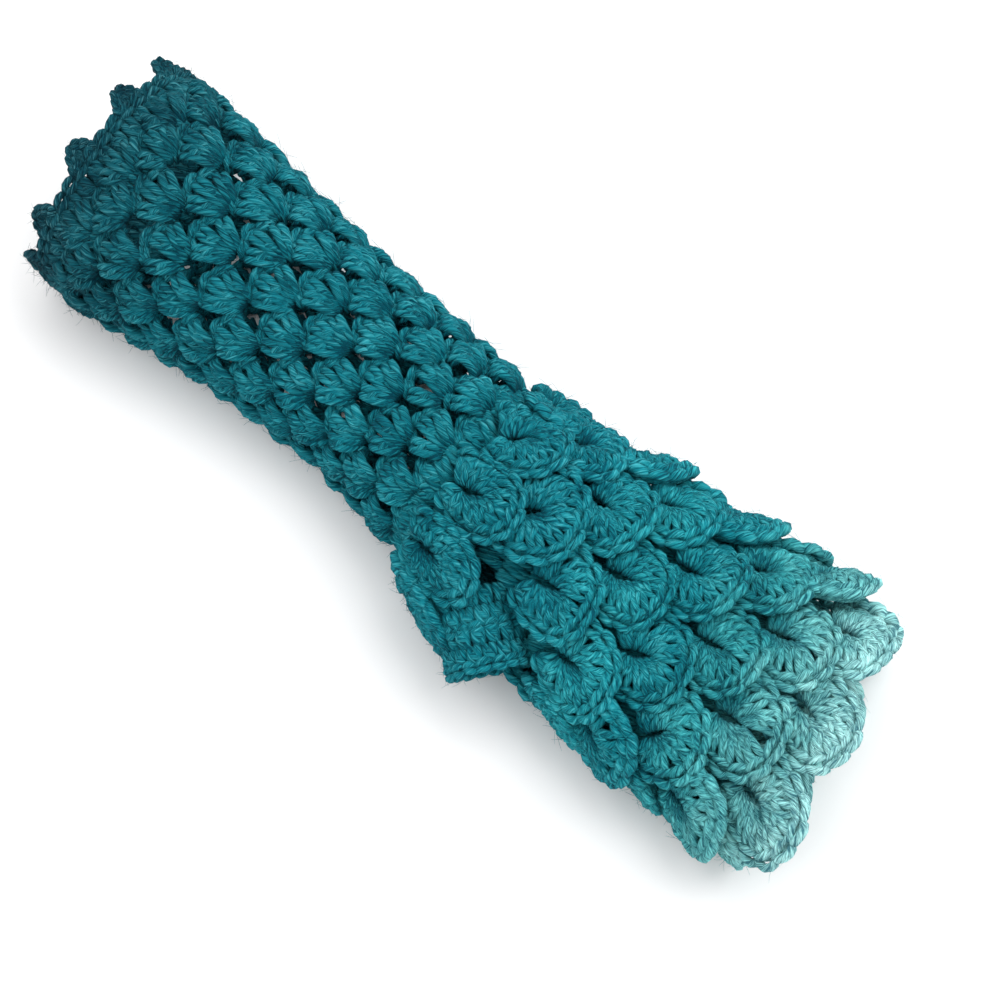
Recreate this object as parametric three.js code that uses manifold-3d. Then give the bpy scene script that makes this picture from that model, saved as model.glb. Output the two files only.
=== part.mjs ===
import * as THREE from 'three';
import { mergeGeometries, mergeVertices } from 'three/addons/utils/BufferGeometryUtils.js';
import Module from 'manifold-3d';

// A left-hand crochet glove lying on a table, in millimetres.
// +X runs to the fingers, -Y is the thumb side and +Z is up.
// Places on the glove are given as a distance along it from the picot tips,
// a share of the way round it from the middle of its back towards the thumb,
// and a height above the outer face of its fabric.

const wasm = await Module();
wasm.setup();

// Lengths along the glove
const picotHeight = 8;
const edgeBandWidth = 7.7;
const sleeveLength = 139;
const handLength = 140.3;

// Outer sizes of the fabric tube
const elbowWidth = 81;
const elbowHeight = 66;
const wristWidth = 62;
const wristHeight = 46;
const palmWidth = 72;
const palmHeight = 33;
const sideBow = 5.5;
const edgeSlant = 6;
const restDepth = 1;
const fabricThickness = 4;
const seamGap = 0.3;

// Open-work of the sleeve
const clusterRows = 12;
const clustersRound = 10;
const holeLength = 5.4;
const holeWidth = 4.4;

// Picot edging
const picotsRound = 10;

// Scales
const scaleRows = 8;
const scalesRound = 7;
const wristScales = 9;
const firstScaleRoot = 3.9;
const scaleRowPitch = 17.2;
const scaleLength = 31;
const scaleThickness = 3;
const scaleFill = 0.94;
const scaleRise = 0.24;
const scaleTipCurl = 2;
const latticeShift = 0.5;
const wristScaleShift = 9;
const scaleRootGap = 0.55;
const scaleShareLostAtMost = 0.2;

// The scales under the palm are pressed flat by the weight on them
const underPress = 0.36;
const pressStart = 0.2;
const pressFull = 0.9;
const palmLift = 7.8;

// Thumb
const thumbAlong = 43.3;
const thumbSplay = 36;
const thumbDrop = 12;
const cuffReach = 14;
const cuffDiameter = 28.8;
const cuffWall = 3.2;

// Yarn colours, dark at the elbow and pale at the fingers
const elbowColour = new THREE.Color('#0b5f6c');
const wristColour = new THREE.Color('#12808c');
const fingerColour = new THREE.Color('#69b3ae');
const yarnRoughness = 0.9;

const sleeveStart = picotHeight + edgeBandWidth;
const wristAt = sleeveStart + sleeveLength;
const fingerEdgeAt = wristAt + handLength;

// Rows along the sleeve: along is a share of its length, taper goes from the elbow's size (0)
// to the wrist's (1), bow, lift and slant are shares of sideBow, palmLift and edgeSlant.
const sleeveTable = [
  { along: 0.0, taper: 0.0, bow: 0.9, lift: 0.0, slant: 0.8 },
  { along: 0.25, taper: 0.38, bow: 0.45, lift: 0.0, slant: 0.3 },
  { along: 0.5, taper: 0.72, bow: 0.15, lift: 0.0, slant: 0.0 },
  { along: 0.78, taper: 0.95, bow: 0.0, lift: 0.0, slant: 0.0 },
  { along: 1.0, taper: 0.85, bow: 0.6, lift: 0.4, slant: 0.1 },
];

// Rows along the hand: spread goes from the wrist's size (0) to the palm's (1).
const handTable = [
  { along: 0.14, spread: 0.3, bow: 1.1, lift: 0.95, slant: 0.4 },
  { along: 0.36, spread: 0.6, bow: 0.8, lift: 1.0, slant: 1.0 },
  { along: 0.7, spread: 1.0, bow: 0.0, lift: 1.0, slant: 1.0 },
  { along: 1.0, spread: 1.1, bow: -0.6, lift: 1.0, slant: 1.0 },
];

const { lerp, smoothstep, euclideanModulo, degToRad } = THREE.MathUtils;

const stations = [
  ...sleeveTable.map((row) => ({
    x: sleeveStart + row.along * sleeveLength,
    width: lerp(elbowWidth, wristWidth, row.taper),
    height: lerp(elbowHeight, wristHeight, row.taper),
    side: -sideBow * row.bow,
    lift: palmLift * row.lift,
    slant: edgeSlant * row.slant,
  })),
  ...handTable.map((row) => ({
    x: wristAt + row.along * handLength,
    width: lerp(wristWidth, palmWidth, row.spread),
    height: lerp(wristHeight, palmHeight, row.spread),
    side: -sideBow * row.bow,
    lift: palmLift * row.lift,
    slant: edgeSlant * row.slant,
  })),
];

// Slope of one column at a station, level at both ends
function slopeAt(index, column) {
  const before = stations[index - 1];
  const after = stations[index + 1];
  if (!before || !after) return 0;
  return (after[column] - before[column]) / (after.x - before.x);
}

// One column of the stations at any distance along, through smooth curves
function measure(column, x) {
  const last = stations.length - 1;
  if (x <= stations[0].x) return stations[0][column];
  if (x >= stations[last].x) return stations[last][column];
  const index = stations.findIndex((station) => station.x > x) - 1;
  const from = stations[index];
  const to = stations[index + 1];
  const span = to.x - from.x;
  const t = (x - from.x) / span;
  const startValue = (1 + 2 * t) * (1 - t) ** 2 * from[column];
  const endValue = t * t * (3 - 2 * t) * to[column];
  const startSlope = t * (1 - t) ** 2 * span * slopeAt(index, column);
  const endSlope = t * t * (t - 1) * span * slopeAt(index + 1, column);
  return startValue + endValue + startSlope + endSlope;
}

// The section at a distance along: an ellipse above and a squarer curve below, which flattens
// on the table. Its steps are measured at the mid height of the scales.
const sectionSteps = 180;
const upperPower = 2;
const lowerPower = 3;
const stepHeight = scaleThickness * 2;
const knownSections = new Map();

function makeSection(x) {
  const halfWidth = measure('width', x) / 2;
  const halfHeight = (measure('height', x) + restDepth) / 2;
  const side = measure('side', x);
  const lift = measure('lift', x);
  const slant = measure('slant', x);
  const points = [];
  let travelled = 0;
  for (let step = 0; step <= sectionSteps; step += 1) {
    const angle = (step / sectionSteps) * 2 * Math.PI;
    const across = Math.sin(angle);
    const up = Math.cos(angle);
    const power = up > 0 ? upperPower : lowerPower;
    const y = -Math.sign(across) * Math.abs(across) ** (2 / power);
    const z = Math.sign(up) * Math.abs(up) ** (2 / power);
    const normal = new THREE.Vector2(
      (Math.sign(y) * Math.abs(y) ** (power - 1)) / halfWidth,
      (Math.sign(z) * Math.abs(z) ** (power - 1)) / halfHeight,
    ).normalize();
    const point = {
      y: side + halfWidth * y,
      z: lift - restDepth + halfHeight * (1 + z),
      normal,
    };
    const raised = new THREE.Vector2(point.y, point.z).addScaledVector(normal, stepHeight);
    if (step > 0) travelled += raised.distanceTo(points[step - 1].raised);
    points.push({ ...point, raised, travelled });
  }
  return { points, girth: travelled, halfWidth, side, lift, slant };
}

function sectionAt(x) {
  const key = x.toFixed(4);
  if (!knownSections.has(key)) knownSections.set(key, makeSection(x));
  return knownSections.get(key);
}

// A place on the glove as a point in space. At both ends the rounds slant towards the fingers
// on the thumb side.
function placeOnGlove(along, share, height) {
  const { points, girth, halfWidth, side, lift, slant } = sectionAt(along);
  const distance = euclideanModulo(share, 1) * girth;
  let step = 1;
  while (step < sectionSteps && points[step].travelled < distance) step += 1;
  const from = points[step - 1];
  const to = points[step];
  const t = (distance - from.travelled) / (to.travelled - from.travelled);
  const normal = from.normal.clone().lerp(to.normal, t).normalize();
  const pressed = height > 0 ? 1 - underPress * smoothstep(-normal.y, pressStart, pressFull) : 1;
  const reach = height * pressed;
  const y = lerp(from.y, to.y, t) + normal.x * reach;
  const z = Math.max(lerp(from.z, to.z, t) + normal.y * reach, lift - reach, 0);
  return new THREE.Vector3(along + (slant * (side - y)) / halfWidth, y, z);
}

// Merges shared corners, drops empty triangles and turns the faces outwards
function closedMesh(geometry) {
  geometry.deleteAttribute('normal');
  geometry.deleteAttribute('uv');
  const merged = mergeVertices(geometry, 1e-4);
  const corners = merged.getAttribute('position');
  const index = merged.getIndex().array;
  const kept = [];
  let volume = 0;
  for (let at = 0; at < index.length; at += 3) {
    const [a, b, c] = [index[at], index[at + 1], index[at + 2]];
    if (a === b || b === c || c === a) continue;
    const first = new THREE.Vector3().fromBufferAttribute(corners, a);
    const second = new THREE.Vector3().fromBufferAttribute(corners, b);
    const third = new THREE.Vector3().fromBufferAttribute(corners, c);
    volume += first.dot(second.cross(third));
    kept.push([a, b, c]);
  }
  merged.setIndex(kept.flatMap(([a, b, c]) => (volume < 0 ? [a, c, b] : [a, b, c])));
  return merged;
}

function solidOf(geometry) {
  const closed = closedMesh(geometry);
  return new wasm.Manifold(new wasm.Mesh({
    numProp: 3,
    vertProperties: new Float32Array(closed.getAttribute('position').array),
    triVerts: new Uint32Array(closed.getIndex().array),
  }));
}

// Moves each corner to the point that a rule gives for it
function shapedBy(geometry, rule) {
  const corners = geometry.getAttribute('position');
  const corner = new THREE.Vector3();
  for (let at = 0; at < corners.count; at += 1) {
    corner.fromBufferAttribute(corners, at);
    const moved = rule(corner);
    corners.setXYZ(at, moved.x, moved.y, moved.z);
  }
  return geometry;
}

// Leaves out the triangles that a test picks by their corners
function withoutFaces(geometry, test) {
  const corners = geometry.getAttribute('position');
  const kept = [];
  for (let at = 0; at < corners.count; at += 3) {
    const face = [0, 1, 2].map((next) => new THREE.Vector3().fromBufferAttribute(corners, at + next));
    if (!test(face)) kept.push(...face);
  }
  return new THREE.BufferGeometry().setFromPoints(kept);
}

// A stretch of the glove's wall between two heights, turned as a straight tube and then
// wrapped to the glove. The end rule may move the edge at the start.
function wallGeometry({ from, to, steps, round, inner, outer, startEdge = () => 0 }) {
  const turnedRadius = elbowWidth;
  const profile = [];
  for (let step = 0; step <= steps; step += 1) {
    profile.push(new THREE.Vector2(turnedRadius + outer, lerp(from, to, step / steps)));
  }
  for (let step = steps; step >= 0; step -= 1) {
    profile.push(new THREE.Vector2(turnedRadius + inner, lerp(from, to, step / steps)));
  }
  profile.push(profile[0].clone());
  return shapedBy(new THREE.LatheGeometry(profile, round), (corner) => {
    const share = Math.atan2(corner.x, corner.z) / (2 * Math.PI);
    const height = Math.hypot(corner.x, corner.z) - turnedRadius;
    const edge = ((to - corner.y) / (to - from)) * startEdge(share);
    return placeOnGlove(corner.y - edge, share, height);
  });
}

// A full stretch of the glove without its hollow
function coreGeometry({ from, to, steps, round, outer }) {
  const turnedRadius = elbowWidth;
  const profile = [new THREE.Vector2(0, from)];
  for (let step = 0; step <= steps; step += 1) {
    profile.push(new THREE.Vector2(turnedRadius + outer, lerp(from, to, step / steps)));
  }
  profile.push(new THREE.Vector2(0, to));
  return shapedBy(new THREE.LatheGeometry(profile, round), (corner) => {
    const radius = Math.hypot(corner.x, corner.z);
    if (radius < 1) {
      const section = sectionAt(corner.y);
      const middle = section.lift + measure('height', corner.y) / 2;
      return new THREE.Vector3(corner.y, measure('side', corner.y), middle);
    }
    const share = Math.atan2(corner.x, corner.z) / (2 * Math.PI);
    return placeOnGlove(corner.y, share, radius - turnedRadius);
  });
}

const glove = new THREE.Group();

function addPiece(name, solid, colour) {
  const mesh = solid.getMesh();
  const geometry = new THREE.BufferGeometry();
  geometry.setAttribute('position', new THREE.BufferAttribute(mesh.vertProperties, 3));
  geometry.setIndex(new THREE.BufferAttribute(mesh.triVerts, 1));
  geometry.computeVertexNormals();
  const material = new THREE.MeshStandardMaterial({
    color: colour,
    roughness: yarnRoughness,
    metalness: 0,
  });
  const piece = new THREE.Mesh(geometry, material);
  piece.name = name;
  glove.add(piece);
}

function yarnColourAt(along) {
  if (along < wristAt) return elbowColour.clone().lerp(wristColour, along / wristAt);
  const share = Math.min((along - wristAt) / handLength, 1);
  return wristColour.clone().lerp(fingerColour, share);
}

// Arm sleeve: each round of the wall has two flat faces for every cluster. Every other face has
// a hole, and the next round's holes are one face along.
const facesRound = 2 * clustersRound;
const holeSides = 5;
const sleeveFrom = sleeveStart + seamGap;
const clusterPitch = (wristAt - sleeveFrom) / clusterRows;

function sleeveFace(row, face) {
  const outline = new THREE.Shape();
  outline.moveTo(0, 0).lineTo(1, 0).lineTo(1, 1).lineTo(0, 1);
  if ((row + face) % 2 === 0) {
    const faceWidth = sectionAt(sleeveFrom + row * clusterPitch).girth / facesRound;
    const hole = new THREE.Path();
    for (let side = 0; side < holeSides; side += 1) {
      const angle = (side / holeSides) * 2 * Math.PI;
      const x = 0.5 + ((holeLength / 2) * Math.cos(angle)) / clusterPitch;
      const y = 0.5 + ((holeWidth / 2) * Math.sin(angle)) / faceWidth;
      if (side === 0) hole.moveTo(x, y);
      else hole.lineTo(x, y);
    }
    outline.holes.push(hole);
  }
  const slab = new THREE.ExtrudeGeometry(outline, { depth: 1, bevelEnabled: false });
  const open = withoutFaces(slab, (corners) => {
    const allAt = (column, value) => corners.every((corner) => corner[column] === value);
    return allAt('y', 0) || allAt('y', 1)
      || (row > 0 && allAt('x', 0))
      || (row < clusterRows - 1 && allAt('x', 1));
  });
  return shapedBy(open, (corner) => placeOnGlove(
    sleeveFrom + (row + corner.x) * clusterPitch,
    (face + corner.y) / facesRound,
    (corner.z - 1) * fabricThickness,
  ));
}

const sleeveFaces = [];
for (let row = 0; row < clusterRows; row += 1) {
  for (let face = 0; face < facesRound; face += 1) sleeveFaces.push(sleeveFace(row, face));
}
addPiece('arm_sleeve', solidOf(mergeGeometries(sleeveFaces)), yarnColourAt(wristAt / 2));

// Picot edge: a band whose free edge runs out to one point for each picot
const cornersPerPicot = 4;
const picotShape = [0, 0.3, 1, 0.3];

function picotReach(share) {
  const corner = Math.round(euclideanModulo(share, 1) * picotsRound * cornersPerPicot);
  return picotHeight * picotShape[corner % cornersPerPicot];
}

addPiece('picot_edge', solidOf(wallGeometry({
  from: picotHeight,
  to: sleeveStart,
  steps: 1,
  round: picotsRound * cornersPerPicot,
  inner: -fabricThickness,
  outer: 0,
  startEdge: picotReach,
})), yarnColourAt(0));

// The thumb's line leaves the hand's side at mid height and slopes to the table
const thumbSides = 20;
const cuffRadius = cuffDiameter / 2;
const cuffBore = cuffRadius - cuffWall;
const insideHand = 20;
const thumbRoom = 30;
const thumbAt = wristAt + thumbAlong;
const thumbRoot = new THREE.Vector3(
  thumbAt,
  measure('side', thumbAt) - measure('width', thumbAt) / 2,
  measure('lift', thumbAt) + measure('height', thumbAt) / 2,
);
const thumbLine = new THREE.Vector3(1, 0, 0)
  .applyAxisAngle(new THREE.Vector3(0, 1, 0), degToRad(thumbDrop))
  .applyAxisAngle(new THREE.Vector3(0, 0, 1), -degToRad(thumbSplay));

function alongThumb(geometry) {
  const turn = new THREE.Quaternion().setFromUnitVectors(new THREE.Vector3(0, 1, 0), thumbLine);
  return geometry.applyQuaternion(turn).translate(...thumbRoot);
}

// A round bar on the thumb's line, from a distance before its root to one past it
function thumbBar(radius, before, past) {
  const length = before + past;
  const bar = new THREE.CylinderGeometry(radius, radius, length, thumbSides);
  return solidOf(alongThumb(bar.translate(0, past - length / 2, 0)));
}

// Hand body: the base fabric with the thumb's opening in its side
const facesPerScale = 4;
const handSteps = 12;
const handWall = solidOf(wallGeometry({
  from: wristAt + seamGap,
  to: fingerEdgeAt,
  steps: handSteps,
  round: scalesRound * facesPerScale,
  inner: -fabricThickness,
  outer: 0,
}));
const handBody = handWall.subtract(thumbBar(cuffBore, insideHand, thumbRoom));
addPiece('hand_body', handBody, yarnColourAt(wristAt + handLength / 2));

// Thumb cuff: a tube that starts at the hand's side
const handCore = solidOf(coreGeometry({
  from: sleeveStart + sleeveLength / 2,
  to: fingerEdgeAt,
  steps: 2 * scaleRows,
  round: scalesRound * facesPerScale,
  outer: seamGap,
}));
const cuffTube = thumbBar(cuffRadius, insideHand, cuffReach)
  .subtract(thumbBar(cuffBore, 2 * insideHand, 2 * cuffReach));
const thumbCuff = cuffTube.subtract(handCore);
addPiece('thumb_cuff', thumbCuff, yarnColourAt(thumbAt));

// Scales: round flaps rooted on the hand, each row over the next one's roots
const scaleSides = 12;

function scaleGeometry(root, share, scalesInRow) {
  const halfShare = scaleFill / scalesInRow / 2;
  const profile = [[0, 0], [0.5, 0], [1, 0], [1, 1], [0.5, 1], [0, 1]];
  const disc = new THREE.LatheGeometry(
    profile.map(([radius, up]) => new THREE.Vector2(radius, up)),
    scaleSides,
  );
  return shapedBy(disc, (corner) => {
    const reach = (1 + corner.z) / 2;
    const under = scaleRootGap + scaleLength * reach * scaleRise + scaleTipCurl * reach ** 3;
    return placeOnGlove(
      root + scaleLength * reach,
      share + corner.x * halfShare,
      under + corner.y * scaleThickness,
    );
  });
}

function largestPiece(solid) {
  return solid.decompose().sort((one, other) => other.volume() - one.volume())[0];
}

const thumbClearance = thumbBar(cuffRadius + seamGap, insideHand, thumbRoom);
for (let row = 0; row < scaleRows; row += 1) {
  const atWrist = row === 0;
  const scalesInRow = atWrist ? wristScales : scalesRound;
  const root = wristAt + firstScaleRoot + row * scaleRowPitch;
  const shift = (atWrist ? wristScaleShift : latticeShift) / sectionAt(root).girth;
  const halfStep = atWrist ? 0 : ((row + 1) % 2) / 2;
  for (let place = 0; place < scalesInRow; place += 1) {
    const share = shift + (place + halfStep) / scalesInRow;
    const whole = solidOf(scaleGeometry(root, share, scalesInRow));
    const kept = largestPiece(whole.subtract(thumbClearance));
    if (kept.volume() < (1 - scaleShareLostAtMost) * whole.volume()) continue;
    addPiece(`scale_${row + 1}_${place + 1}`, kept, yarnColourAt(root + scaleLength / 2));
  }
}

// The origin is under the middle of the glove, on the table
const box = new THREE.Box3().setFromObject(glove);
const middle = box.getCenter(new THREE.Vector3());
glove.position.set(-middle.x, -middle.y, -box.min.z);

const group = new THREE.Group();
group.add(glove);

export default group;
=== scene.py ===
import math

import bmesh
import bpy
import numpy as np
from mathutils import Matrix, Vector


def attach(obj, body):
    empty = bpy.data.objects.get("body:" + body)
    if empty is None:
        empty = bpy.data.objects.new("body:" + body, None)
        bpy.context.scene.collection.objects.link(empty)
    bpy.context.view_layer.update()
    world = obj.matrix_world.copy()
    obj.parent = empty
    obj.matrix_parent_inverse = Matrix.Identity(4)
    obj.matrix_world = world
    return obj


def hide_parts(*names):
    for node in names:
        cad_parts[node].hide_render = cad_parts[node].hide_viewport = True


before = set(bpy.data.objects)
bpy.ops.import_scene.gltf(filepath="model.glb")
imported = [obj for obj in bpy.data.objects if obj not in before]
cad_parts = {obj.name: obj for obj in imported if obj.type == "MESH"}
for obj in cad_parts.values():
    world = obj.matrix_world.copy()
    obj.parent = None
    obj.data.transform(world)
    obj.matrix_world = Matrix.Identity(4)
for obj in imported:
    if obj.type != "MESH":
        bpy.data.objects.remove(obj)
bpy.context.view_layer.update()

# Table, lamps and camera.
# The glove lies on a white table under a wide soft lamp, seen steeply from beside the elbow.
table_reach, paper_tone, paper_roughness = 6.0, (0.90, 0.90, 0.905, 1), 0.9
sensor_width, room_strength = 36.0, 0.95

bench = bpy.data.meshes.new("table_top")
form = bmesh.new()
bmesh.ops.create_grid(form, x_segments=1, y_segments=1, size=table_reach)
form.to_mesh(bench)
form.free()
table_top = bpy.data.objects.new("table_top", bench)
bpy.context.collection.objects.link(table_top)
paper = bpy.data.materials.new("white_paper")
paper.use_nodes = True
paper.node_tree.nodes["Principled BSDF"].inputs["Base Color"].default_value = paper_tone
paper.node_tree.nodes["Principled BSDF"].inputs["Roughness"].default_value = paper_roughness
bench.materials.append(paper)

azimuth, elevation, roll = math.radians(41.29), math.radians(71.4), math.radians(0.66)
distance, seen_width = 1.0, 0.3177
aimed_at = Vector((0.0176, -0.0001, 0.025))
ahead = Vector((-math.sin(azimuth) * math.cos(elevation),
                math.cos(azimuth) * math.cos(elevation), -math.sin(elevation)))
level = Vector((math.cos(azimuth), math.sin(azimuth), 0))
across = level * math.cos(roll) + level.cross(ahead) * math.sin(roll)
camera = bpy.data.objects.new("camera", bpy.data.cameras.new("camera"))
camera.data.sensor_width = sensor_width
camera.data.lens = sensor_width * distance / seen_width
camera.location = aimed_at - ahead * distance
camera.rotation_mode = "QUATERNION"
camera.rotation_quaternion = Matrix((across, across.cross(ahead), -ahead)).transposed().to_quaternion()
bpy.context.collection.objects.link(camera)
bpy.context.scene.camera = camera
bpy.context.scene.view_settings.view_transform = "Standard"

room = bpy.data.worlds.new("room")
room.use_nodes = True
room.node_tree.nodes["Background"].inputs["Color"].default_value = (1.0, 1.0, 1.0, 1)
room.node_tree.nodes["Background"].inputs["Strength"].default_value = room_strength
bpy.context.scene.world = room
for name, place, size, power in (
    ("window_lamp", (0.30, 0.75, 1.45), 1.3, 16.0),
    ("fill_lamp", (-0.55, -0.35, 1.6), 1.6, 7.0),
):
    lamp = bpy.data.objects.new(name, bpy.data.lights.new(name, "AREA"))
    lamp.data.size = size
    lamp.data.energy = power
    lamp.location = place
    lamp.rotation_mode = "QUATERNION"
    lamp.rotation_quaternion = (Vector(place) - aimed_at).to_track_quat("Z", "Y")
    bpy.context.collection.objects.link(lamp)

# Arm sleeve: open-work of worsted yarn, crocheted in rounds from the wrist to the elbow.
# Each cluster is three tall stitches worked into one gap of the round before, so it fans out to
# the elbow and its chain tops border the next gap. Lengths here are in millimetres.
picot_height, band_width, sleeve_length, hand_length = 8.0, 7.7, 139.0, 140.3
elbow_width, elbow_height = 81.0, 66.0
wrist_width, wrist_height = 62.0, 46.0
palm_width, palm_height = 72.0, 33.0
side_bow, edge_slant, palm_lift, rest_depth, under_press = 5.5, 6.0, 7.8, 1.0, 0.36
piece_gap, round_top, square_base, press_from, press_over = 0.3, 2.0, 3.0, 0.2, 0.7
sleeve_start = picot_height + band_width
wrist_at = sleeve_start + sleeve_length
frame_shift = (-156.442, 3.267)

# along, taper, bow, lift and slant, as in the part
sleeve_form = (
    (0.0, 0.0, 0.9, 0.0, 0.8),
    (0.25, 0.38, 0.45, 0.0, 0.3),
    (0.5, 0.72, 0.15, 0.0, 0.0),
    (0.78, 0.95, 0.0, 0.0, 0.0),
    (1.0, 0.85, 0.6, 0.4, 0.1),
)
# along, spread, bow, lift and slant
hand_form = (
    (0.14, 0.3, 1.1, 0.95, 0.4),
    (0.36, 0.6, 0.8, 1.0, 1.0),
    (0.7, 1.0, 0.0, 1.0, 1.0),
    (1.0, 1.1, -0.6, 1.0, 1.0),
)


def blend_sizes(start, end, share):
    return start + (end - start) * share


stations = np.array([
    (sleeve_start + along * sleeve_length, blend_sizes(elbow_width, wrist_width, taper),
     blend_sizes(elbow_height, wrist_height, taper), -side_bow * bow, palm_lift * lift, edge_slant * slant)
    for along, taper, bow, lift, slant in sleeve_form
] + [
    (wrist_at + along * hand_length, blend_sizes(wrist_width, palm_width, spread),
     blend_sizes(wrist_height, palm_height, spread), -side_bow * bow, palm_lift * lift, edge_slant * slant)
    for along, spread, bow, lift, slant in hand_form
])


def measured(column, x):
    """One column of the stations at distances along the glove, through smooth curves."""
    places, values = stations[:, 0], stations[:, column]
    slopes = np.zeros(len(places))
    slopes[1:-1] = (values[2:] - values[:-2]) / (places[2:] - places[:-2])
    x = np.clip(x, places[0], places[-1])
    start = np.clip(np.searchsorted(places, x, side="right") - 1, 0, len(places) - 2)
    span = places[start + 1] - places[start]
    t = (x - places[start]) / span
    return ((1 + 2 * t) * (1 - t) ** 2 * values[start] + t * t * (3 - 2 * t) * values[start + 1]
            + t * (1 - t) ** 2 * span * slopes[start] + t * t * (t - 1) * span * slopes[start + 1])


grid_step, round_steps, section_steps, step_height = 2.0, 240, 180, 6.0
grid_x = np.arange(-20.0, 330.0, grid_step)
half_width = measured(1, grid_x) / 2
half_height = (measured(2, grid_x) + rest_depth) / 2
side, lift, slant = (measured(column, grid_x) for column in (3, 4, 5))
angle = np.linspace(0, 2 * math.pi, section_steps + 1)
power = np.where(np.cos(angle) > 1e-9, round_top, square_base)
turn_y = -np.sign(np.sin(angle)) * np.abs(np.sin(angle)) ** (2 / power)
turn_z = np.sign(np.cos(angle)) * np.abs(np.cos(angle)) ** (2 / power)
sections, girth = [], []
for index in range(len(grid_x)):
    lean_y = np.sign(turn_y) * np.abs(turn_y) ** (power - 1) / half_width[index]
    lean_z = np.sign(turn_z) * np.abs(turn_z) ** (power - 1) / half_height[index]
    long = np.hypot(lean_y, lean_z)
    lean_y, lean_z = lean_y / long, lean_z / long
    y = side[index] + half_width[index] * turn_y
    z = lift[index] - rest_depth + half_height[index] * (1 + turn_z)
    steps = np.hypot(np.diff(y + lean_y * step_height), np.diff(z + lean_z * step_height))
    travelled = np.concatenate([[0], np.cumsum(steps)])
    shares = np.linspace(0, travelled[-1], round_steps + 1)
    sections.append([np.interp(shares, travelled, values) for values in (y, z, lean_y, lean_z)])
    girth.append(travelled[-1])
sections = np.array(sections)
girth = np.array(girth)


def on_glove(x, share, height):
    """Points in metres at places along and round the glove, a height above its fabric's face."""
    x, share, height = (np.asarray(value, float) for value in np.broadcast_arrays(x, share, height))
    column = np.clip((x - grid_x[0]) / grid_step, 0, len(grid_x) - 1.001)
    turned = (share % 1.0) * round_steps
    i, j = column.astype(int), np.minimum(turned.astype(int), round_steps - 1)
    s, t = column - i, turned - j
    y, z, lean_y, lean_z = (
        (sections[i, k, j] * (1 - t) + sections[i, k, j + 1] * t) * (1 - s)
        + (sections[i + 1, k, j] * (1 - t) + sections[i + 1, k, j + 1] * t) * s for k in range(4))
    long = np.hypot(lean_y, lean_z)
    lean_y, lean_z = lean_y / long, lean_z / long
    press = np.clip((-lean_z - press_from) / press_over, 0, 1)
    reach = height * np.where(height > 0, 1 - under_press * press * press * (3 - 2 * press), 1)
    middle, low, wide, skew = (np.interp(x, grid_x, row) for row in (side, lift, half_width, slant))
    y = y + lean_y * reach
    z = np.maximum(np.maximum(z + lean_z * reach, low - reach), 0)
    return np.stack([x + skew * (middle - y) / wide + frame_shift[0], y + frame_shift[1], z], -1) / 1000


def smooth_path(points, count):
    """A path with more points, through its own points in a smooth curve."""
    points = np.asarray(points, float)
    padded = np.vstack([2 * points[0] - points[1], points, 2 * points[-1] - points[-2]])
    where = np.linspace(0, len(points) - 1, count)
    i = np.minimum(where.astype(int), len(points) - 2)
    t = (where - i)[:, None]
    a, b, c, d = (padded[i + k] for k in range(4))
    return 0.5 * (2 * b + (c - a) * t + (2 * a - 5 * b + 4 * c - d) * t * t
                  + (3 * b - a - 3 * c + d) * t ** 3)


end_taper, unit_radius, fibre_thickness = 0.55, 0.0005, 0.08
fibre_short, fibre_long, fibre_scatter, fibre_away, fibre_stray, fibre_root = 2.5, 6.0, 0.45, 0.4, 0.9, 0.47
chance = np.random.default_rng(7)


def strand_of(place, path, count, thickness):
    """A strand through a few points, with how far it lies under its own highest point, which the yarn's colour
    turns into painted shade.
    """
    path = smooth_path(path, count)
    return place(path), thickness, path[:, 2].max() - path[:, 2]


def spun(name, strands, sides_resolution=1):
    """One mesh of yarn strands, each a path in metres and a thickness in millimetres."""
    curve = bpy.data.curves.new(name, "CURVE")
    curve.dimensions = "3D"
    curve.bevel_depth = unit_radius
    curve.bevel_resolution = sides_resolution
    sides = 4 + 2 * sides_resolution
    lengths, depths = [], []
    for path, thickness, depth in strands:
        spline = curve.splines.new("POLY")
        spline.points.add(len(path) - 1)
        spline.points.foreach_set("co", np.column_stack([path, np.ones(len(path))]).ravel())
        widths = np.full(len(path), thickness)
        widths[[0, -1]] *= end_taper
        spline.points.foreach_set("radius", widths)
        depths.append(np.repeat(depth, sides))
        lengths += [np.linalg.norm(np.diff(path, axis=0), axis=1).sum()] * (4 * sides * (len(path) - 1))
    laid = bpy.data.objects.new(name, curve)
    bpy.context.collection.objects.link(laid)
    mesh = bpy.data.meshes.new_from_object(laid.evaluated_get(bpy.context.evaluated_depsgraph_get()))
    bpy.data.objects.remove(laid)
    bpy.data.curves.remove(curve)
    uv = np.empty(2 * len(mesh.loops))
    mesh.uv_layers[0].data.foreach_get("uv", uv)
    uv[0::2] *= lengths
    mesh.uv_layers[0].data.foreach_set("uv", uv)
    # depth: how far each point lies under its strand's top, read by the yarn's colour as painted shade
    mesh.attributes.new("depth", "FLOAT", "POINT").data.foreach_set("value", np.concatenate(depths))
    form = bmesh.new()
    form.from_mesh(mesh)
    for corner in form.verts:
        corner.co.z = max(corner.co.z, 0.0)
    ends = [edge for edge in form.edges if edge.is_boundary]
    bmesh.ops.holes_fill(form, edges=ends, sides=sides)
    for face in form.faces:
        face.smooth = True
    form.to_mesh(mesh)
    form.free()
    return mesh


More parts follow.
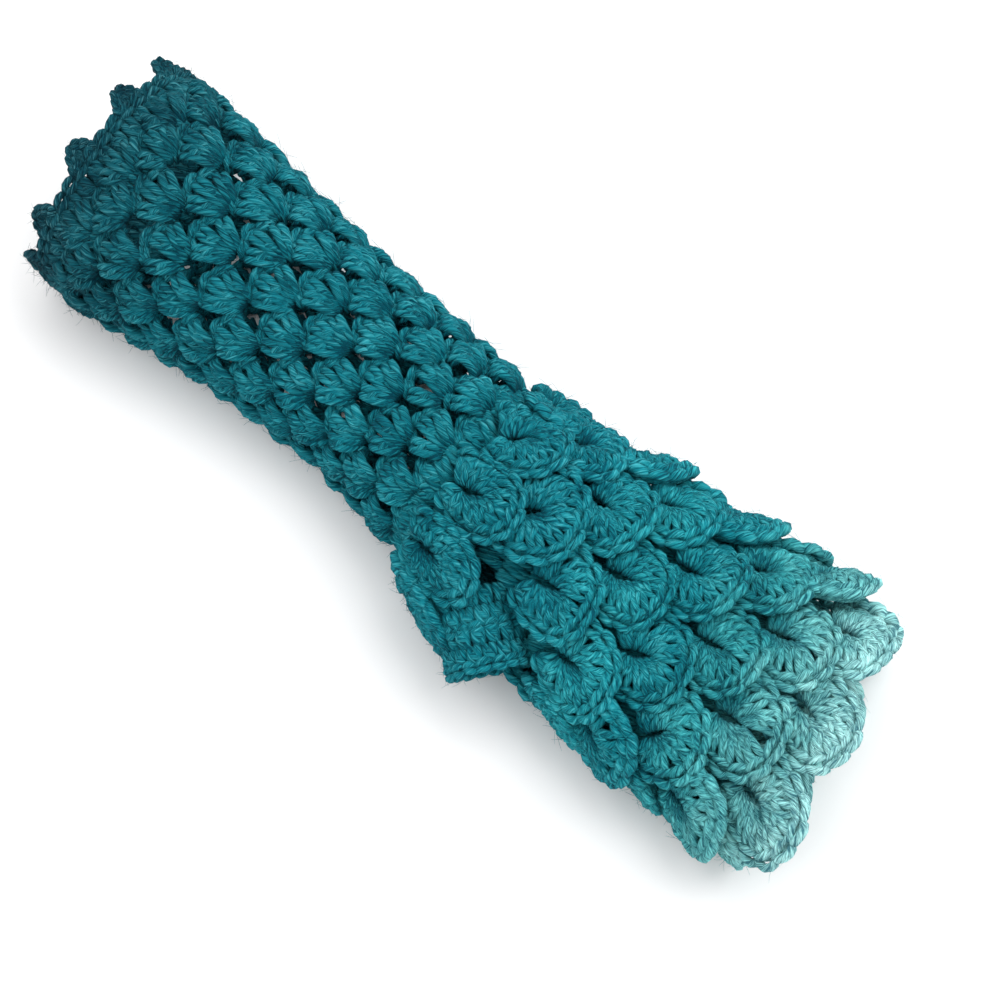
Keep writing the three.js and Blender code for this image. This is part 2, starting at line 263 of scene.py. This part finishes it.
def loose_fibres(strands, each):
    """Short fine fibres that stand off the outer side of the yarn, some on each strand."""
    fibres = []
    for path, thickness, _ in strands:
        way = np.gradient(path, axis=0)
        way /= np.linalg.norm(way, axis=1)[:, None] + 1e-9
        for _ in range(each):
            start = chance.integers(1, len(path) - 1)
            point, along = path[start], way[start]
            x = point[0] * 1000 - frame_shift[0]
            out = point - np.array([point[0], (np.interp(x, grid_x, side) + frame_shift[1]) / 1000,
                                    np.interp(x, grid_x, lift + half_height) / 1000])
            out = out / np.linalg.norm(out) + chance.normal(0, fibre_scatter, 3)
            out -= along * (out @ along)
            out /= np.linalg.norm(out)
            sideways = np.cross(along, out)
            reach = chance.uniform(fibre_short, fibre_long) * chance.choice((-1, 1))
            away, stray = abs(chance.normal(0, fibre_away)), chance.normal(0, fibre_stray)
            line = [point + (along * reach * t + out * (thickness * fibre_root + away * (1.4 * t - t * t))
                             + sideways * stray * t * t) / 1000 for t in (0.0, 0.35, 0.7, 1.0)]
            fibres.append((np.array(line), fibre_thickness, np.zeros(4)))
    return fibres


class Socket:
    """An output of a shader node, so that sums on it are written as sums."""

    def __init__(self, tree, output):
        self.tree = tree
        self.output = output

    def node(self, kind, settings, values, output=0):
        """Adds a node with its settings, and its sockets' values or links."""
        made = self.tree.nodes.new(kind)
        for name, value in settings.items():
            if name == "stops":
                while len(made.color_ramp.elements) < len(value):
                    made.color_ramp.elements.new(1.0)
                for stop, (position, colour) in zip(made.color_ramp.elements, value):
                    stop.position = position
                    stop.color = (*colour, 1)
            else:
                setattr(made, name, value)
        for name, value in values.items():
            if isinstance(value, Socket):
                self.tree.links.new(value.output, made.inputs[name])
            else:
                made.inputs[name].default_value = value
        return Socket(self.tree, made.outputs[output])

    def sum(self, operation, first, second=0.0):
        return self.node("ShaderNodeMath", {"operation": operation}, {0: first, 1: second})

    def __add__(self, other):
        return self.sum("ADD", self, other)

    def __sub__(self, other):
        return self.sum("SUBTRACT", self, other)

    def __mul__(self, other):
        return self.sum("MULTIPLY", self, other)

    __radd__ = __add__


# Colour of the yarn by distance along the glove, elbow first, in linear light: a real fade from deep teal at
# the elbow to aqua at the fingers, with a darker dip at 0.091 that is painted shade
yarn_fade_and_painted_shade = (
    (-0.161, (0.000, 0.050, 0.075)),
    (-0.110, (0.000, 0.190, 0.240)),
    (-0.060, (0.000, 0.210, 0.265)),
    (0.010, (0.000, 0.225, 0.280)),
    (0.045, (0.000, 0.230, 0.290)),
    (0.073, (0.010, 0.325, 0.380)),
    (0.091, (0.000, 0.240, 0.295)),
    (0.112, (0.035, 0.370, 0.405)),
    (0.135, (0.160, 0.510, 0.520)),
    (0.161, (0.560, 0.940, 0.930)),
)
twist_pitch, plies, shade_slant, shade_wander = 0.0105, 3.0, 0.24, 0.10
fibre_lengthwise, fibre_round, fibre_shift, mottle_scale = 240.0, 3.0, 160.0, 95.0
# The ply and depth amounts below set painted shade; the fibre and mottle amounts set the yarn's own heathered
# tone.
tone_middle, ply_painted_shade, tone_fibre, tone_mottle, depth_painted_shade, pale_share = 0.44, 0.12, 3.2, 0.7, 0.11, 0.13
deep_tint, pale_tint, pale_fibre = (0.15, 0.28, 0.34, 1), (1.7, 1.75, 1.7, 1), (0.50, 0.85, 0.84, 1)
relief_depth, relief_ply, relief_fibre = 0.0007, 0.35, 1.8
yarn_surface = {"Roughness": 0.82, "Specular IOR Level": 0.08, "Sheen Weight": 0.03,
                "Sheen Roughness": 0.45, "Sheen Tint": (0.3, 0.9, 0.95, 1)}


def yarn_finish(name):
    """Plied acrylic yarn: soft plies that turn round the strand, fine fibres and a shade that changes slowly
    along the glove. Its colour holds painted shade too: darker in the grooves between plies, where a strand
    dips under its neighbours, and in one band of the fade along the glove."""
    material = bpy.data.materials.new(name)
    material.use_nodes = True
    tree = material.node_tree
    shader = tree.nodes["Principled BSDF"]
    start = Socket(tree, None)
    place = start.node("ShaderNodeTexCoord", {}, {}, "Object")
    strand = start.node("ShaderNodeUVMap", {"uv_map": "UVMap"}, {})
    along = start.node("ShaderNodeSeparateXYZ", {}, {"Vector": strand}, "X")
    around = start.node("ShaderNodeSeparateXYZ", {}, {"Vector": strand}, "Y")
    x = (start.node("ShaderNodeSeparateXYZ", {}, {"Vector": place}, "X")
         + start.node("ShaderNodeSeparateXYZ", {}, {"Vector": place}, "Y") * shade_slant)
    turn = (around + along * (1 / twist_pitch)) * (2 * math.pi)
    ply = start.sum("COSINE", turn * plies)
    spread = start.node("ShaderNodeCombineXYZ", {}, {
        "X": along * fibre_lengthwise,
        "Y": start.sum("COSINE", turn) * fibre_round,
        "Z": start.sum("SINE", turn) * fibre_round,
    })
    shift = start.node("ShaderNodeVectorMath", {"operation": "SCALE"}, {0: place, "Scale": fibre_shift})
    wander = start.node("ShaderNodeVectorMath", {"operation": "ADD"}, {0: spread, 1: shift})
    fibre = start.node("ShaderNodeTexNoise", {}, {
        "Vector": wander, "Scale": 1.0, "Detail": 4.0, "Roughness": 0.62})
    depth = start.node("ShaderNodeAttribute", {"attribute_name": "depth"}, {}, "Fac")
    mottle = start.node("ShaderNodeTexNoise", {}, {
        "Vector": place, "Scale": mottle_scale, "Detail": 2.0, "Roughness": 0.5})
    low, high = yarn_fade_and_painted_shade[0][0], yarn_fade_and_painted_shade[-1][0]
    shade = start.node("ShaderNodeValToRGB", {
        "stops": [((position - low) / (high - low), colour) for position, colour in yarn_fade_and_painted_shade],
    }, {"Fac": (x - low) * (1 / (high - low)) + (mottle - 0.5) * shade_wander})
    # Lightness: the fibre and mottle terms are the yarn's own heathered tone; the ply term is painted
    # highlight and shade, lighter on the plies and darker in the grooves between them; the depth term is
    # painted shade where a strand dips under its neighbours.
    light = (tone_middle + ply * ply_painted_shade + (fibre - 0.5) * tone_fibre + (mottle - 0.5) * tone_mottle
             - depth * depth_painted_shade)
    tone = start.node("ShaderNodeClamp", {}, {"Value": light})
    # The colour runs from a deep copy to a pale copy of the fade by this lightness, so it carries both the
    # yarn's heather and the painted shade.
    tinted = {"data_type": "RGBA", "blend_type": "MULTIPLY"}
    deep = start.node("ShaderNodeMix", tinted, {"Factor": 1.0, "A": shade, "B": deep_tint}, 2)
    raised = start.node("ShaderNodeMix", tinted, {"Factor": 1.0, "A": shade, "B": pale_tint}, 2)
    pale = start.node("ShaderNodeMix", {"data_type": "RGBA"}, {
        "Factor": tone * tone * pale_share, "A": raised, "B": pale_fibre}, 2)
    colour = start.node("ShaderNodeMix", {"data_type": "RGBA"}, {"Factor": tone, "A": deep, "B": pale}, 2)
    relief = start.node("ShaderNodeBump", {}, {
        "Strength": 1.0, "Distance": relief_depth, "Height": ply * relief_ply + fibre * relief_fibre})
    tree.links.new(colour.output, shader.inputs["Base Color"])
    tree.links.new(relief.output, shader.inputs["Normal"])
    for socket, value in yarn_surface.items():
        shader.inputs[socket].default_value = value
    return material


yarn = yarn_finish("teal_yarn")


def put_on(name, strands, slot, *nodes, fibres=0):
    """Places strands of yarn, with loose fibres on them, where the named solids are."""
    mesh = spun(name, strands)
    if fibres:
        fuzz = spun(name + "_fibres", loose_fibres(strands, fibres), 0)
        form = bmesh.new()
        form.from_mesh(mesh)
        form.from_mesh(fuzz)
        form.to_mesh(mesh)
        form.free()
        bpy.data.meshes.remove(fuzz)
    mesh.materials.clear()
    mesh.materials.append(yarn)
    piece = bpy.data.objects.new(name, mesh)
    bpy.context.collection.objects.link(piece)
    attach(piece, "root")
    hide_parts(*nodes)


cluster_rows, clusters_round, hole_length, yarn_thickness = 12, 10, 8.4, 2.9
cluster_pitch = (wrist_at - sleeve_start - piece_gap) / cluster_rows
first_cluster_in, first_cluster_length, second_cluster_cut = 2.0, 12.0, 3.0
cluster_puff, wrist_puff, puff_growth, puff_grows_after = 0.8, -0.8, 0.25, 7
closed_round, closed_start, closed_length, closed_height = 46, 12.5, 15.0, -2.8
thick_yarn = yarn_thickness * 1.1
cluster_length, cluster_shoulder, post_count, fan_share = 14.3, 0.22, 3, 0.33


def jitter(spread):
    return chance.normal(0, spread)


def tall_stitch(strands, place, foot, head, width, thickness, foot_dip=2.6, head_dip=1.6, rise=0.0):
    """A tall stitch from foot to head, (along, sideways, height): two strands side by side with
    one loop of yarn wound slantwise over them."""
    foot, head = np.array(foot, float), np.array(head, float)
    line = head - foot
    out = np.array([-line[1], line[0], 0]) / math.hypot(line[0], line[1])
    up = np.array([0, 0, 1.0])
    lean, lift_by = jitter(0.3), rise + jitter(0.3)
    for hand in (-1, 1):
        path = [
            foot + out * 0.35 * width * hand - up * foot_dip,
            foot + line * 0.16 + out * 0.6 * width * hand + up * (lift_by - 0.45 * foot_dip),
            foot + line * 0.45 + out * (width * hand + lean) + up * (lift_by + 0.3 * hand),
            foot + line * 0.80 + out * (width * hand + lean) + up * (lift_by - 0.3 * hand),
            head + out * 0.8 * width * hand - up * head_dip,
        ]
        strands.append(strand_of(place, path, 7, thickness * (1 + jitter(0.05))))
    middle = 0.52 + jitter(0.05)
    over = min(0.28, 3.0 / np.linalg.norm(line))
    path = [
        foot + line * (middle - over) - out * (width + 0.9) - up * 2.2,
        foot + line * middle + out * lean + up * (lift_by + 1.1),
        foot + line * (middle + over) + out * (width + 0.9) - up * 2.2,
    ]
    strands.append(strand_of(place, path, 6, thickness * 0.85))


# share of a chain loop, part of its opening and height, for each of its legs
loop_shape = ((0.0, 0.4, -1.7), (0.25, 1.0, 0.1), (0.7, 0.8, 0.4), (1.25, 0.15, -1.6))


def chain(strands, place, line, loops, open_by, thickness, rise=0.0, end_dip=0.0):
    """A chain of loops along a line of (along, sideways, height) points: each loop is two legs
    that start apart and end together under the next loop."""
    line = smooth_path(line, 40)
    travelled = np.concatenate([[0], np.cumsum(np.linalg.norm(np.diff(line[:, :2], axis=0), axis=1))])
    total = travelled[-1]

    def at(distance):
        distance = np.clip(distance, -2.0, total + 2.0)
        return np.array([np.interp(distance, travelled, line[:, k]) for k in range(3)])

    for loop in range(loops):
        for hand in (-1, 1):
            path = []
            for step, part_by, height in loop_shape:
                distance = (loop + step) / loops * total
                point = at(distance)
                ahead_of = at(distance + 0.5) - at(distance - 0.5)
                out = np.array([-ahead_of[1], ahead_of[0], 0])
                out = out / max(math.hypot(ahead_of[0], ahead_of[1]), 1e-6)
                dip = end_dip * max(0.0, abs(2 * distance / total - 1) - 0.6)
                path.append(point + out * (open_by * part_by * hand)
                            + np.array([jitter(0.12), jitter(0.12), height + rise - dip + jitter(0.12)]))
            strands.append(strand_of(place, path, 6, thickness * (1 + jitter(0.04))))


def girth_at(x):
    return np.interp(x, grid_x, girth)


def facing_elbow(base_x, share, lean=0.0):
    """Places (towards the elbow, towards the thumb, height) points round a foot on the glove."""
    def place(path):
        x = base_x - path[:, 0]
        return on_glove(x, share + (path[:, 1] + lean * path[:, 0]) / girth_at(x), path[:, 2])
    return place


def cluster(strands, base_x, share, length=cluster_length, puff=cluster_puff):
    """Tall stitches that fan out from one gap, with their chain tops."""
    place = facing_elbow(base_x + jitter(0.4), share + jitter(0.4) / girth_at(base_x), jitter(0.05))
    half_fan = fan_share * girth_at(base_x) / clusters_round
    width = min(1.5, 0.27 * 2 * half_fan / (post_count - 1))
    for t in np.linspace(-1, 1, post_count) + chance.normal(0, 0.07, post_count):
        head = (length * (1 - cluster_shoulder * t * t) - 0.4, half_fan * t, -0.8)
        tall_stitch(strands, place, (0.0, 2.5 * t, -1.6), head, width, yarn_thickness, foot_dip=3.0,
                    rise=puff + 0.5 * abs(t))
    arc = [(length * (1 - cluster_shoulder * t * t), half_fan * t, -1.9)
           for t in np.linspace(-1.2, 1.2, 7)]
    chain(strands, place, arc, post_count, 1.05, yarn_thickness * 0.85, end_dip=2.5)


sleeve_parts = {"arm_sleeve_upper": [], "arm_sleeve_lower": []}
for row in range(cluster_rows + 2):
    hole_x = sleeve_start + piece_gap + (row + 0.5) * cluster_pitch
    strands = sleeve_parts["arm_sleeve_upper" if row < 6 else "arm_sleeve_lower"]
    for place in range(clusters_round):
        share = (2 * place + row % 2 + 0.5) / (2 * clusters_round)
        if row == 0:
            cluster(strands, hole_x + first_cluster_in, share, first_cluster_length)
        else:
            length = cluster_length - (second_cluster_cut if row == 1 else 0.0)
            puff = cluster_puff + puff_growth * max(0, row - puff_grows_after)
            cluster(strands, hole_x - hole_length / 2, share, length,
                    wrist_puff if row > cluster_rows else puff)
for place in range(closed_round):
    stand = facing_elbow(sleeve_start + closed_start, place / closed_round)
    tall_stitch(sleeve_parts["arm_sleeve_upper"], stand, (0, 0, closed_height),
                (closed_length, 0, closed_height), 1.7, thick_yarn, foot_dip=1.0, head_dip=1.0)
for name, strands in sleeve_parts.items():
    put_on(name, strands, "yarn_deep_teal", "arm_sleeve", fibres=2)

# Picot edge: the last round at the elbow, tall stitches side by side under a chain,
# with a small point of chain loops at every tenth of the way round.
picots_round, edge_stitches, picot_half_width, edge_overlap = 10, 40, 5.8, 4.0
picot_yarn, picot_opening = yarn_thickness * 0.95, 1.1
edge_strands = []
for place in range(edge_stitches):
    stand = facing_elbow(sleeve_start + edge_overlap, place / edge_stitches)
    tall_stitch(edge_strands, stand, (0, 0, -2.0), (band_width + 3.0, 0, -1.4), 1.6, thick_yarn)
    lower, stand = [], facing_elbow(sleeve_start + edge_overlap, (place + 0.5) / edge_stitches)
    tall_stitch(lower, stand, (0, 0, -3.4), (band_width + 2.0, 0, -3.4), 1.7, thick_yarn, 0.6, 0.6)
    edge_strands += lower[:2]
for place in range(edge_stitches // 4):
    stand = facing_elbow(picot_height + 0.5, (place * 4 + 2) / edge_stitches)
    step = girth_at(picot_height) / edge_stitches
    chain(edge_strands, stand, [(0.0, k * step, -0.9) for k in (-2, -1, 0, 1, 2)], 4, 1.35, picot_yarn)
for place in range(picots_round):
    stand = facing_elbow(picot_height, (place + 0.5) / picots_round)
    tip = picot_height - 1.8 + jitter(0.5)
    lean = jitter(0.8)
    upwards = [(-0.5, -picot_half_width, -1.0),
               (0.55 * tip, -0.62 * picot_half_width + lean * 0.5, -0.9), (tip, lean, -0.9)]
    downwards = [(tip, lean, -1.2),
                 (0.55 * tip, 0.62 * picot_half_width + lean * 0.5, -0.9), (-0.5, picot_half_width, -1.0)]
    for side_line in (upwards, downwards):
        chain(edge_strands, stand, side_line, 3, picot_opening, picot_yarn)
    for sideways in (-1.8, 0.2, 2.0):
        head = (tip - 1.0, 0.4 * sideways + lean, -1.4)
        tall_stitch(edge_strands, stand, (-1.0, sideways, -2.2), head, 0.8, yarn_thickness * 0.9)
put_on("picot_round", edge_strands, "yarn_deep_teal", "picot_edge", fibres=2)

# Hand body: the base fabric of the hand, pairs of tall stitches in rounds, which shows only
# between the scales, at the finger edge and inside. The thumb leaves through a gap in its side.
scale_rows, scales_round, wrist_scales, first_scale_root, scale_row_pitch = 8, 7, 9, 3.9, 17.2
thumb_along, thumb_splay, thumb_drop, cuff_reach = 43.3, math.radians(36), math.radians(12), 14.0
cuff_radius, cuff_wall = 14.4, 3.2
base_rounds, base_stitches, plain_yarn, wound_yarn = 16, 44, 2.6, 2.7
thumb_at = wrist_at + thumb_along
thumb_root = np.array([
    thumb_at + frame_shift[0],
    measured(3, np.array(thumb_at)) - measured(1, np.array(thumb_at)) / 2 + frame_shift[1],
    measured(4, np.array(thumb_at)) + measured(2, np.array(thumb_at)) / 2,
]) / 1000
thumb_line = np.array([
    math.cos(thumb_drop) * math.cos(thumb_splay),
    -math.cos(thumb_drop) * math.sin(thumb_splay),
    -math.sin(thumb_drop),
])


def in_thumb_gap(points, radius):
    """True where a strand comes within a radius (mm) of the thumb's line outside the hand."""
    reach = (points - thumb_root) @ thumb_line
    away = np.linalg.norm(points - thumb_root - np.outer(reach, thumb_line), axis=1)
    return bool(np.any((away < radius / 1000) & (reach > -0.020)))


base_strands = []
base_pitch = (hand_length - 1.0) / base_rounds
for row in range(base_rounds):
    foot_x = wrist_at + 1.0 + (row + 1) * base_pitch
    for place in range(base_stitches):
        stitch = []
        stand = facing_elbow(foot_x, (place + 0.5 * (row % 2)) / base_stitches)
        tall_stitch(stitch, stand, (0, 0, -2.6), (base_pitch + 0.8, 0, -2.4), 1.1, plain_yarn,
                    foot_dip=0.8, head_dip=0.8)
        if not any(in_thumb_gap(strand[0], cuff_radius - cuff_wall) for strand in stitch):
            base_strands += stitch[:2]
edge_line = facing_elbow(wrist_at + hand_length - 1.2, 0.0)
edge_around = girth_at(wrist_at + hand_length)
for quarter in range(4):
    line = [(0, (quarter + k / 4) * edge_around / 4, -2.0) for k in range(5)]
    chain(base_strands, edge_line, line, 10, 1.3, plain_yarn)
put_on("base_fabric", base_strands, "yarn_teal", "hand_body")

# Thumb cuff: a short tube of low plain stitches worked round the thumb's gap.
cuff_rounds, cuff_stitches = 4, 17
cuff_side = np.cross(thumb_line, (0, 0, 1.0))
cuff_side /= np.linalg.norm(cuff_side)
cuff_up = np.cross(cuff_side, thumb_line)


def round_thumb(distance, turn):
    """Places (towards the palm, round the thumb, height) points on the cuff."""
    def place(path):
        angle = turn * 2 * math.pi + path[:, 1] / cuff_radius
        out = np.outer(np.cos(angle), cuff_up) + np.outer(np.sin(angle), cuff_side)
        along = distance - path[:, 0]
        return thumb_root + (np.outer(along, thumb_line) + out * (cuff_radius + path[:, 2])[:, None]) / 1000
    return place


cuff_strands = []
cuff_pitch = (cuff_reach + 10.0) / cuff_rounds
for row in range(cuff_rounds):
    for place in range(cuff_stitches):
        stand = round_thumb(cuff_reach - 1.0 - row * cuff_pitch, (place + 0.5 * (row % 2)) / cuff_stitches)
        tall_stitch(cuff_strands, stand, (0, 0, -1.6), (cuff_pitch + 0.6, 0, -1.6), 1.25, wound_yarn,
                    foot_dip=0.8, head_dip=0.8)
for row in (0, 2):
    for half in (0, 1):
        stand = round_thumb(cuff_reach - 1.0 - row * cuff_pitch, half / 2)
        line = [(0, k * cuff_radius * math.pi / 6, -1.3) for k in range(7)]
        chain(cuff_strands, stand, line, 9, 1.3, plain_yarn)
put_on("cuff_tube", cuff_strands, "yarn_teal", "thumb_cuff", fibres=2)

# Scales: round flaps in crocodile stitch, each row over the roots of the next.
# Each is two fans of tall stitches worked down and up a short groove, bordered by chain loops.
scale_length, scale_fill, scale_rise, scale_tip_curl, scale_root_gap = 31.0, 0.94, 0.24, 2.0, 0.55
scale_step, wrist_scale_shift, fan_posts, scale_dome = 0.5, 9.0, 5, 1.8
groove_at, groove_length, groove_turn = 0.42, 7.5, -0.32
side_lift = (0.3, 0.35, 0.9, 0.95, 1.4, 1.7, 1.7, 1.3)
# length and lift of the scales that differ from their row
uneven_scales = {
    "scale_1_3": (1.08, 1.3), "scale_3_6": (1.05, 1.2), "scale_6_3": (0.86, 1.2),
    "scale_7_3": (0.90, 1.0), "scale_7_5": (0.93, 1.2), "scale_7_6": (0.97, 2.0),
    "scale_8_1": (1.08, 1.2), "scale_8_2": (1.08, 1.2), "scale_8_3": (0.72, 1.0),
    "scale_8_5": (0.97, 1.3), "scale_8_6": (0.90, 1.0), "scale_8_7": (0.86, 1.0),
}
outline_power, head_at, rim_at, rim_points, rim_loops = 0.86, 0.82, 0.90, 17, 11
rim_yarn, rim_opening, groove_half_width, first_way, way_span = 2.8, 1.9, 1.3, 136, 121
# share of the rim's distance from the middle, and height, of the strands under it
under_rims = ((0.98, -1.5), (0.93, 0.3), (0.86, -0.4), (1.01, -0.5))


def blunt(way):
    """The point in a direction on the outline of a scale, a little squarer than a circle."""
    return tuple(math.copysign(abs(value) ** outline_power, value) for value in (math.cos(way), math.sin(way)))


def on_scale(root, share, half_across, length, turn, rise, curl, cup):
    """Places (towards the fingers, sideways, height) points on a scale of a root and share."""
    def place(path):
        along = path[:, 0] - length / 2
        sideways = path[:, 1]
        turned_along = along * math.cos(turn) - sideways * math.sin(turn)
        turned_side = along * math.sin(turn) + sideways * math.cos(turn)
        reach = np.clip(turned_along / scale_length + length / scale_length / 2, 0, 1.05)
        edge = np.clip(np.abs(turned_side) / half_across, 0, 1.1)
        out = np.clip(np.hypot(2 * along / length, sideways / half_across), 0, 1)
        under = (scale_root_gap + scale_length * reach * scale_rise * rise
                 + scale_tip_curl * rise * reach ** 3 + curl * np.maximum(reach - 0.5, 0) ** 2 * 5
                 + cup * edge ** 3 + scale_dome * (1 - out * out))
        x = root + length / 2 + turned_along
        return on_glove(x, share + turned_side / girth_at(root + length / 2), under + path[:, 2])
    return place


def scale_strands(root, share, scales_in_row, reach, lifted):
    """The strands of one scale; those on the glove's sides have a thicker, cupped rim."""
    strands = []
    here, above = (on_glove(root + scale_length / 2, share, height) for height in (0.0, 1.0))
    facing = (above - here) * 1000
    aside, beneath = abs(facing[1]), max(0.0, -facing[2])
    length = scale_length * (1 - 0.14 * beneath - 0.05 * aside) * reach
    half_across = scale_fill * girth_at(root + scale_length / 2) / scales_in_row / 2
    size = 0.97 + jitter(0.045)
    place = on_scale(root, share, half_across, length, jitter(0.2), 1 + (lifted - 1) * aside ** 2,
                     1.2 - 3.4 * aside + jitter(1.4) * (1 - 0.6 * aside),
                     jitter(1.2) + 2.0 * aside ** 2)
    middle = length / 2
    groove = groove_turn + jitter(0.2)
    groove_way, groove_side = (np.array([math.cos(groove + turn), math.sin(groove + turn), 0])
                               for turn in (0, math.pi / 2))
    for hand in (-1, 1):
        for post in range(fan_posts):
            t = post / (fan_posts - 1)
            foot = (np.array([groove_at * length, 0, 1.6]) + groove_way * groove_length * (t - 0.5)
                    + groove_side * groove_half_width * hand)
            way = math.radians(first_way - way_span * t) + jitter(0.06)
            a, b = blunt(way)
            head = (middle + head_at * size * middle * a, hand * head_at * size * half_across * b, 1.9)
            tall_stitch(strands, place, foot, head, 1.35, 2.75, foot_dip=2.6, head_dip=1.6, rise=0.2)
    rim = []
    for way in np.linspace(-2.5, 2.5, rim_points):
        a, b = blunt(way)
        rim.append((middle + rim_at * size * middle * a, rim_at * size * half_across * b, 1.5))
    chain(strands, place, rim, rim_loops, rim_opening - 0.3 * aside ** 2, rim_yarn + 1.3 * aside ** 2,
          rise=0.5 * aside ** 2)
    for inwards, height in under_rims:
        under_rim = [(middle + (a - middle) * inwards, b * inwards, height) for a, b, _ in rim]
        strands.append(strand_of(place, under_rim, 24, plain_yarn))
    return strands


for row in range(scale_rows):
    at_wrist = row == 0
    in_row = wrist_scales if at_wrist else scales_round
    root = wrist_at + first_scale_root + row * scale_row_pitch
    shift = (wrist_scale_shift if at_wrist else scale_step) / girth_at(root)
    half_step = 0 if at_wrist else (row + 1) % 2 / 2
    names, strands = [], []
    for place in range(in_row):
        name = "scale_%d_%d" % (row + 1, place + 1)
        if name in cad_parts:
            names.append(name)
            reach, lifted = uneven_scales.get(name, (1.0, side_lift[row]))
            strands += scale_strands(root, shift + (place + half_step) / in_row, in_row, reach, lifted)
    slot = "yarn_teal" if row < 4 else "yarn_aqua"
    put_on("scale_row_%d" % (row + 1), strands, slot, *names, fibres=2)
